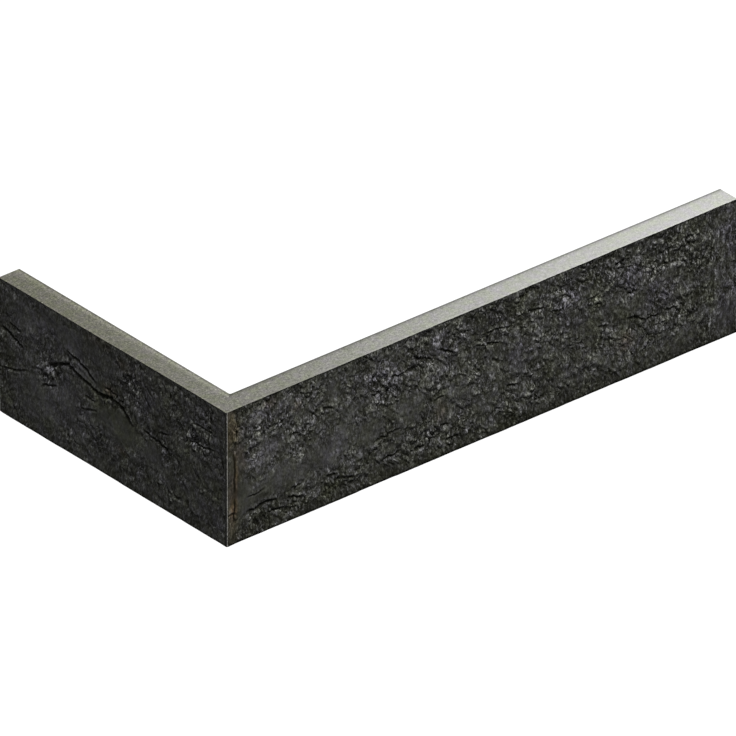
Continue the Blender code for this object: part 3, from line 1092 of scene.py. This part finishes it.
@dataclass(frozen=True)
class SkinFinish:
    """The burnt charcoal skin of a riven face.

    Tones are in steps, each twice as pale as the last, and a pair of edges says where something
    starts and is complete.
    """

    name: str
    ground: Colour
    sizes: GrainSizes = GrainSizes(1.0 * MM, 14.0 * MM, 0.45 * MM, 0.60 * MM, 2.0)
    # Steps of the painted light and shade that follow the relief.
    relief_shade_steps: float = 0.48
    fine_steps: float = 0.82
    mottle_steps: float = 0.35
    # Steps of the painted shade in the cracks and of the painted highlight on their lips.
    crack_shade_steps: float = 3.4
    rim_steps: float = 2.0
    rough_steps: float = 0.25
    palest: float = 2.6
    bluish: Colour = (0.99, 0.978, 1.065, 1.0)
    olive: Colour = (1.01, 1.022, 0.935, 1.0)
    hue_length: float = 5.0 * MM
    hue_detail: Pair = (3.0, 0.6)
    hue_edges: Pair = (0.38, 0.62)
    cool: Colour = (1.01, 0.975, 1.12, 1.0)
    warm: Colour = (1.02, 1.05, 0.88, 1.0)
    rust: Colour = (1.5, 0.98, 0.66, 1.0)
    rust_share: float = 0.9
    stain_edges: Pair = (-0.2, 0.6)
    deep: Colour = (1.0, 1.0, 0.74, 1.0)
    deep_edges: Pair = (-2.6, 1.2)
    # Pale specks laid on the paler tones: partly specks in the clay, partly painted glints.
    speck: Colour = (0.20, 0.20, 0.192, 1.0)
    speck_share: float = 0.5
    speck_edges: Pair = (0.3, 1.6)
    sheen_edges: Pair = (-1.5, 1.8)
    sheen: Pair = (0.75, 0.42)
    specular: float = 0.04
    bump: float = 0.6
    bump_depth: float = 0.25 * MM

    def tone(self, wires: Wires, grain: Node) -> Socket:
        """Sums the tones of the grain, the cracks and the rim, in steps, with the painted light and shade of
        the relief, the cracks and the foot.

        Args:
            wires: the material's wires.
            grain: the node of the clay grain.

        Returns:
            The tone.
        """
        rough = wires.mask(Mask.ROUGH)
        # Painted light and shade from the relief: paler mounds, darker creases.
        carved = wires.math("MULTIPLY", wires.mask(Mask.GRAIN), self.relief_shade_steps)
        fine = wires.math("MULTIPLY", grain.outputs["Grain"], self.fine_steps)
        grained = wires.math("MULTIPLY", wires.math("ADD", carved, fine), rough)
        mottle = grain.outputs["Mottle"]
        mottled = wires.math("MULTIPLY_ADD", mottle, self.mottle_steps, -self.mottle_steps / 2)
        shaded = wires.math("MULTIPLY", rough, rough)
        # Pale and dark patches, painted highlight spots and painted shade towards the bed.
        patched = wires.math("MULTIPLY_ADD", shaded, -self.rough_steps, wires.mask(Mask.PALE))
        total = wires.math("ADD", wires.math("ADD", grained, mottled), patched)
        # Painted shade in the cracks and a painted highlight on their lips.
        total = wires.math("MULTIPLY_ADD", wires.mask(Mask.CRACK), -self.crack_shade_steps, total)
        return wires.math("MULTIPLY_ADD", wires.mask(Mask.RIM), -self.rim_steps, total)

    def material(self) -> bpy.types.Material:
        """Makes the material.

        Returns:
            The new material.
        """
        material, wires = new_material(self.name)
        place, grain = self.sizes.add(wires)
        tone = self.tone(wires, grain)
        drift = wires.noise(place, 1.0 / self.hue_length, *self.hue_detail)
        hue = wires.mix(wires.spread(drift, *self.hue_edges), self.bluish, self.olive)
        stain = wires.mix(1.0, hue, self.ground, "MULTIPLY")
        uneven = wires.spread(grain.outputs["Mottle"], *self.stain_edges)
        for mask, tint, share in (
            (Mask.COOL, self.cool, 1.0), (Mask.WARM, self.warm, 1.0), (Mask.RUST, self.rust, self.rust_share),
        ):
            patchy = wires.math("MULTIPLY", wires.math("MULTIPLY", wires.mask(mask), uneven), share)
            stain = wires.mix(patchy, stain, wires.mix(1.0, stain, tint, "MULTIPLY"))
        darkened = wires.mix(1.0, stain, self.deep, "MULTIPLY")
        stain = wires.mix(wires.spread(tone, *self.deep_edges), darkened, stain)
        toned = wires.scale(stain, wires.math("POWER", 2.0, wires.math("MINIMUM", tone, self.palest)))
        # Pale specks only on the paler tones: partly specks in the clay, partly painted glints.
        specks = wires.math("MULTIPLY", grain.outputs["Specks"], wires.spread(tone, *self.speck_edges))
        colour = wires.mix(wires.math("MULTIPLY", specks, self.speck_share), toned, self.speck)
        roughness = wires.spread(tone, *self.sheen_edges, self.sheen)
        wires.coat(Base_Color=colour, Roughness=roughness, Specular_IOR_Level=self.specular)
        wires.bump(grain.outputs["Height"], self.bump, self.bump_depth)
        return material


@dataclass(frozen=True)
class EdgeLine:
    """A line along an edge: where its tone starts and ends, in metres, and its two tones in steps."""

    start: float
    end: float
    tones: Pair = (0.0, 1.0)

    def draw(self, wires: Wires, across: Socket, edge: float = 0.0) -> Socket:
        """Adds the line to a material, measured from an edge, and returns its tone."""
        return wires.spread(across, edge + self.start, edge + self.end, self.tones)


@dataclass(frozen=True)
class BodyFinish:
    """The grey body of the clay where it was cut or pressed.

    Near and the first of the tint's shares and grain's steps belong to the short leg's end, far and the
    second ones to the long leg's; the colour grows paler from near to far as a painted light falloff. The
    keys' edges are shares of their depth.
    """

    name: str
    # Near and far: the body colour is darker at the short leg's end and paler at the long leg's, a painted
    # light falloff.
    near: Colour
    far: Colour
    sizes: GrainSizes = GrainSizes(0.6 * MM, 5.0 * MM, 0.5 * MM, 0.55 * MM)
    painted_falloff_edges: Pair = (0.02, 1.04)
    olive: Colour = (1.01, 1.05, 0.935, 1.0)
    pink: Colour = (0.99, 0.95, 1.065, 1.0)
    tint_shares: Pair = (1.0, 0.8)
    grain_steps: Pair = (0.32, 0.11)
    settled: float = 0.9
    dark: Colour = (0.05, 0.05, 0.045, 1.0)
    pale: Colour = (0.62, 0.62, 0.58, 1.0)
    speck_share: float = 0.2
    dry: Pair = (0.95, 0.8)
    specular: float = 0.2
    bump: float = 0.25
    bump_depth: float = 0.2 * MM
    streaks: float = 0.0
    streak_size: float = 0.7 * MM
    streak_squeeze: float = 0.06
    streak_detail: Pair = (3.0, 0.6)
    streak_edges: Pair = (0.4, 0.7)
    streak_share: float = 0.35
    # Tones of the key floors and of the lands, in steps: the darker key floors are painted shade in the
    # recesses, the lands a little paler.
    key_floor_shade: Pair | None = None
    key_edges: Pair = (-0.9, -0.1)
    edges: bool = False
    mitre: float = 0.6 * MM
    outer: EdgeLine = EdgeLine(0.9 * MM, 1.38 * MM, (0.18, 0.0))
    inner: EdgeLine = EdgeLine(-1.2 * MM, -0.78 * MM, (0.0, -0.8))
    shade: EdgeLine = EdgeLine(-3.0 * MM, -0.6 * MM, (0.0, -0.42))
    stripe: EdgeLine = EdgeLine(-3.9 * MM, -1.755 * MM, (0.0, 0.62))
    stroke: EdgeLine = EdgeLine(0.18 * MM, 0.78 * MM, (-1.1, 0.0))
    stroke_reach: EdgeLine = EdgeLine(-3.5 * MM, -1.6 * MM)

    def material(self, tile: CornerTile) -> bpy.types.Material:
        """Makes the material.

        Args:
            tile: the tile that gets it.

        Returns:
            The new material.
        """
        material, wires = new_material(self.name)
        place, grain = self.sizes.add(wires)
        axes = wires.add("ShaderNodeSeparateXYZ", Vector=place)
        east = wires.math("SUBTRACT", axes.outputs["X"], tile.low.x)
        north = wires.math("SUBTRACT", axes.outputs["Y"], tile.low.y)
        long_leg, short_leg, _ = tile.size
        span = long_leg**2 + short_leg**2
        start = wires.math("MULTIPLY_ADD", north, -short_leg / span, short_leg**2 / span)
        along = wires.math("MULTIPLY_ADD", east, long_leg / span, start)
        # Painted light falloff: paler from the short leg's end towards the long leg's.
        colour = wires.mix(wires.spread(along, *self.painted_falloff_edges), self.near, self.far)
        tint = wires.mix(grain.outputs["Mottle"], self.olive, self.pink)
        tinted = wires.mix(1.0, colour, tint, "MULTIPLY")
        colour = wires.mix(wires.spread(along, 0.0, self.settled, self.tint_shares), colour, tinted)
        steps = wires.spread(along, 0.0, self.settled, self.grain_steps)
        tone = wires.math("MULTIPLY", grain.outputs["Grain"], steps)
        if self.edges:
            tone = wires.math("ADD", tone, self.edge_tone(wires, tile.thickness, east, north))
        # Painted shade on the key floors, and slightly paler lands.
        if self.key_floor_shade:
            behind = wires.math("SUBTRACT", wires.math("MINIMUM", east, north), tile.thickness)
            floor, mouth = (share * tile.key_depth for share in self.key_edges)
            tone = wires.math("ADD", tone, wires.spread(behind, floor, mouth, self.key_floor_shade))
        colour = wires.scale(colour, wires.math("POWER", 2.0, tone))
        for kind, shade in (("Pits", self.dark), ("Specks", self.pale)):
            share = wires.math("MULTIPLY", grain.outputs[kind], self.speck_share)
            colour = wires.mix(share, colour, shade)
        height = grain.outputs["Height"]
        if self.streaks:
            squeeze = (self.streak_squeeze, self.streak_squeeze, 1.0)
            lay = wires.add("ShaderNodeMapping", Vector=place, Scale=squeeze)
            drag = wires.noise(lay.outputs["Vector"], 1.0 / self.streak_size, *self.streak_detail)
            height = wires.math("MULTIPLY_ADD", drag, self.streaks, height)
            streaked = wires.spread(drag, *self.streak_edges, (0.0, self.streak_share))
            colour = wires.mix(streaked, colour, self.dark)
        roughness = wires.spread(grain.outputs["Mottle"], 0.0, 1.0, self.dry)
        wires.coat(Base_Color=colour, Roughness=roughness, Specular_IOR_Level=self.specular)
        wires.bump(height, self.bump, self.bump_depth)
        return material

    def edge_tone(self, wires: Wires, back: float, east: Socket, north: Socket) -> Socket:
        """Tone of the lines along the edges of a cut face and of the stroke on its mitre, in steps.

        Args:
            wires: the material's wires.
            back: distance of the back from the outer face.
            east: distance from the short outer face.
            north: distance from the long outer face.

        Returns:
            The tone.
        """
        across = wires.math("MINIMUM", east, north)
        on_short = wires.spread(wires.math("SUBTRACT", north, east), -self.mitre, self.mitre)
        on_long = wires.math("SUBTRACT", 1.0, on_short)
        stripe = wires.math("MULTIPLY", self.stripe.draw(wires, across, back), on_short)
        band = wires.math("MULTIPLY_ADD", self.shade.draw(wires, across, back), on_long, stripe)
        off_mitre = wires.math("ABSOLUTE", wires.math("SUBTRACT", east, north))
        reach = self.stroke_reach.draw(wires, across, back)
        stroke = wires.math("MULTIPLY", self.stroke.draw(wires, off_mitre), reach)
        lines = wires.math("ADD", self.outer.draw(wires, across), self.inner.draw(wires, across, back))
        return wires.math("ADD", lines, wires.math("ADD", band, stroke))


@dataclass(frozen=True)
class ArrisFinish:
    """The ground arris: burnt skin on the short face's side, worn to pale clay on the long one's."""

    name: str = "worn_arris"
    burnt: Colour = (0.018, 0.018, 0.017, 1.0)
    worn: Colour = (0.36, 0.35, 0.325, 1.0)
    worn_edges: Pair = (0.68, 0.88)
    ragged: float = 0.06
    roughness: float = 0.85
    specular: float = 0.1
    sizes: GrainSizes = GrainSizes(1.0 * MM, 7.0 * MM, 0.5 * MM, 0.9 * MM)

    def material(self, tile: CornerTile) -> bpy.types.Material:
        """Makes the material.

        Args:
            tile: the tile that gets it.

        Returns:
            The new material.
        """
        material, wires = new_material(self.name)
        place, grain = self.sizes.add(wires)
        axes = wires.add("ShaderNodeSeparateXYZ", Vector=place)
        across = wires.math("MULTIPLY_ADD", axes.outputs["X"], 1.0 / tile.arris, -tile.low.x / tile.arris)
        ragged = wires.math("MULTIPLY_ADD", grain.outputs["Grain"], self.ragged, across)
        worn = wires.spread(ragged, *self.worn_edges)
        colour = wires.mix(worn, self.burnt, self.worn)
        wires.coat(Base_Color=colour, Roughness=self.roughness, Specular_IOR_Level=self.specular)
        return material


LONG_FINISH = SkinFinish("charcoal_skin_long", ground=(0.0449, 0.0452, 0.0427, 1.0))
SHORT_FINISH = SkinFinish(
    "charcoal_skin_short",
    ground=(0.0310, 0.0311, 0.0310, 1.0),
    relief_shade_steps=0.41,
    fine_steps=1.05,
    speck_share=0.2,
)
CUT_FINISH = BodyFinish(
    "grey_clay_cut",
    # near darker than far: painted light falloff along the tile
    near=(0.0928, 0.0912, 0.0698, 1.0),
    far=(0.414, 0.417, 0.392, 1.0),
    edges=True,
)
BACK_FINISH = BodyFinish(
    "grey_clay_back",
    # near darker than far: painted light falloff along the tile
    near=(0.209, 0.203, 0.160, 1.0),
    far=(0.359, 0.359, 0.326, 1.0),
    speck_share=0.25,
    streaks=1.2,
    # darker key floors: painted shade
    key_floor_shade=(-0.7, 0.2),
)


@dataclass(frozen=True)
class Lamp:
    """A square studio lamp: where it hangs, where it points, and its size and power."""

    name: str
    place: tuple[float, float, float]
    aim: tuple[float, float, float]
    side: float
    watts: float

    def hang(self) -> None:
        """Adds the lamp to the scene."""
        light = bpy.data.lights.new(self.name, "AREA")
        light.shape = "SQUARE"
        light.size = self.side
        light.energy = self.watts
        lamp = bpy.data.objects.new(self.name, light)
        lamp.location = self.place
        direction = Vector(self.aim) - Vector(self.place)
        lamp.rotation_euler = direction.to_track_quat("-Z", "Y").to_euler()
        bpy.context.scene.collection.objects.link(lamp)


@dataclass
class Studio:
    """The floor, the lamps, the sky and the camera round the tile."""

    low: Vector
    high: Vector
    azimuth: float = -40.1
    elevation: float = 29.9
    distance: float = 13.836
    lens: float = 1600.0
    aim_drop: float = 26.7 * MM
    aim_left: float = 0.31 * MM
    floor_side: float = 60.0
    floor_gap: float = 0.05 * MM
    floor_lit: Colour = (0.25, 0.25, 0.25, 1.0)
    floor_glow: float = 0.78
    floor_bounce: Colour = (0.15, 0.15, 0.15, 1.0)
    sky: float = 0.14
    clip: Pair = (0.01, 100.0)
    lamps: tuple[Lamp, ...] = (
        Lamp("key", (-0.82, -1.62, 2.85), (0.0, 0.0, 0.03), 0.4, 150.0),
        Lamp("behind", (0.55, 0.62, 0.34), (0.06, 0.0, 0.03), 0.3, 3.2),
    )

    def set_up(self) -> None:
        """Builds the whole studio."""
        self.lay_floor()
        self.light_sky()
        for lamp in self.lamps:
            lamp.hang()
        self.place_camera()
        bpy.context.scene.view_settings.view_transform = "Standard"

    def seen_rays(self, wires: Wires) -> Socket:
        """Picks out the rays that see a backdrop: from the camera, mirrored or through glass.

        Args:
            wires: the wires of the floor or of the sky.

        Returns:
            1 for those rays and 0 for the others.
        """
        rays = wires.add("ShaderNodeLightPath").outputs
        seen = wires.math("MAXIMUM", rays["Is Camera Ray"], rays["Is Glossy Ray"])
        return wires.math("MAXIMUM", seen, rays["Is Transmission Ray"])

    def lay_floor(self) -> None:
        """Adds the white floor, which keeps a soft shadow of the tile."""
        deselect_all()
        height = self.low.z - self.floor_gap
        bpy.ops.mesh.primitive_plane_add(size=self.floor_side, location=(0.0, 0.0, height))
        floor = bpy.context.active_object
        floor.name = "floor"
        material, wires = new_material("white_floor")
        nodes = material.node_tree.nodes
        nodes.remove(nodes["Principled BSDF"])
        plain = wires.add("ShaderNodeBsdfDiffuse", Color=self.floor_bounce)
        shaded = wires.add("ShaderNodeBsdfDiffuse", Color=self.floor_lit)
        glow = wires.add("ShaderNodeEmission", Color=WHITE, Strength=self.floor_glow)
        bright = wires.add("ShaderNodeAddShader", None, shaded.outputs[0], glow.outputs[0])
        seen = self.seen_rays(wires)
        mixed = wires.add("ShaderNodeMixShader", None, seen, plain.outputs[0], bright.outputs[0])
        wires.feed(nodes["Material Output"].inputs["Surface"], mixed.outputs[0])
        floor.data.materials.append(material)

    def light_sky(self) -> None:
        """Sets an even sky that shows white behind the tile."""
        world = bpy.data.worlds.new("studio")
        bpy.context.scene.world = world
        world.use_nodes = True
        wires = Wires(world.node_tree)
        background = world.node_tree.nodes["Background"]
        background.inputs["Color"].default_value = WHITE
        strength = wires.math("MULTIPLY_ADD", self.seen_rays(wires), 1.0 - self.sky, self.sky)
        wires.feed(background.inputs["Strength"], strength)

    def place_camera(self) -> None:
        """Places the camera at the photograph's viewing angle."""
        lens = bpy.data.cameras.new("camera")
        lens.lens = self.lens
        lens.clip_start, lens.clip_end = self.clip
        camera = bpy.data.objects.new("camera", lens)
        bpy.context.scene.collection.objects.link(camera)
        turn, rise = math.radians(self.azimuth), math.radians(self.elevation)
        level = math.cos(rise)
        back = Vector((math.sin(turn) * level, -math.cos(turn) * level, math.sin(rise)))
        right = Vector((math.cos(turn), math.sin(turn), 0.0))
        aim = (self.low + self.high) / 2 - back.cross(right) * self.aim_drop - right * self.aim_left
        camera.location = aim + back * self.distance
        camera.rotation_euler = (-back).to_track_quat("-Z", "Y").to_euler()
        bpy.context.scene.camera = camera


def main() -> None:
    """Builds the tile and its studio."""
    logging.basicConfig(level=logging.INFO, format="%(name)s: %(message)s")
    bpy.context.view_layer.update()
    low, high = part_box(NODE)
    maker = CornerTile(low, high)
    tile = maker.build()
    finishes = {
        Surface.LONG_SKIN: LONG_FINISH.material(),
        Surface.SHORT_SKIN: SHORT_FINISH.material(),
        Surface.ARRIS: ArrisFinish().material(maker),
        Surface.CUT: CUT_FINISH.material(maker),
        Surface.BACK: BACK_FINISH.material(maker),
    }
    for surface, material in finishes.items():
        tile.data.materials[surface.value] = material
    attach(tile, BODY)
    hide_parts(NODE)
    log.info("%s: %d faces", tile.name, len(tile.data.polygons))
    Studio(low, high).set_up()


if __name__ == "__main__":
    main()
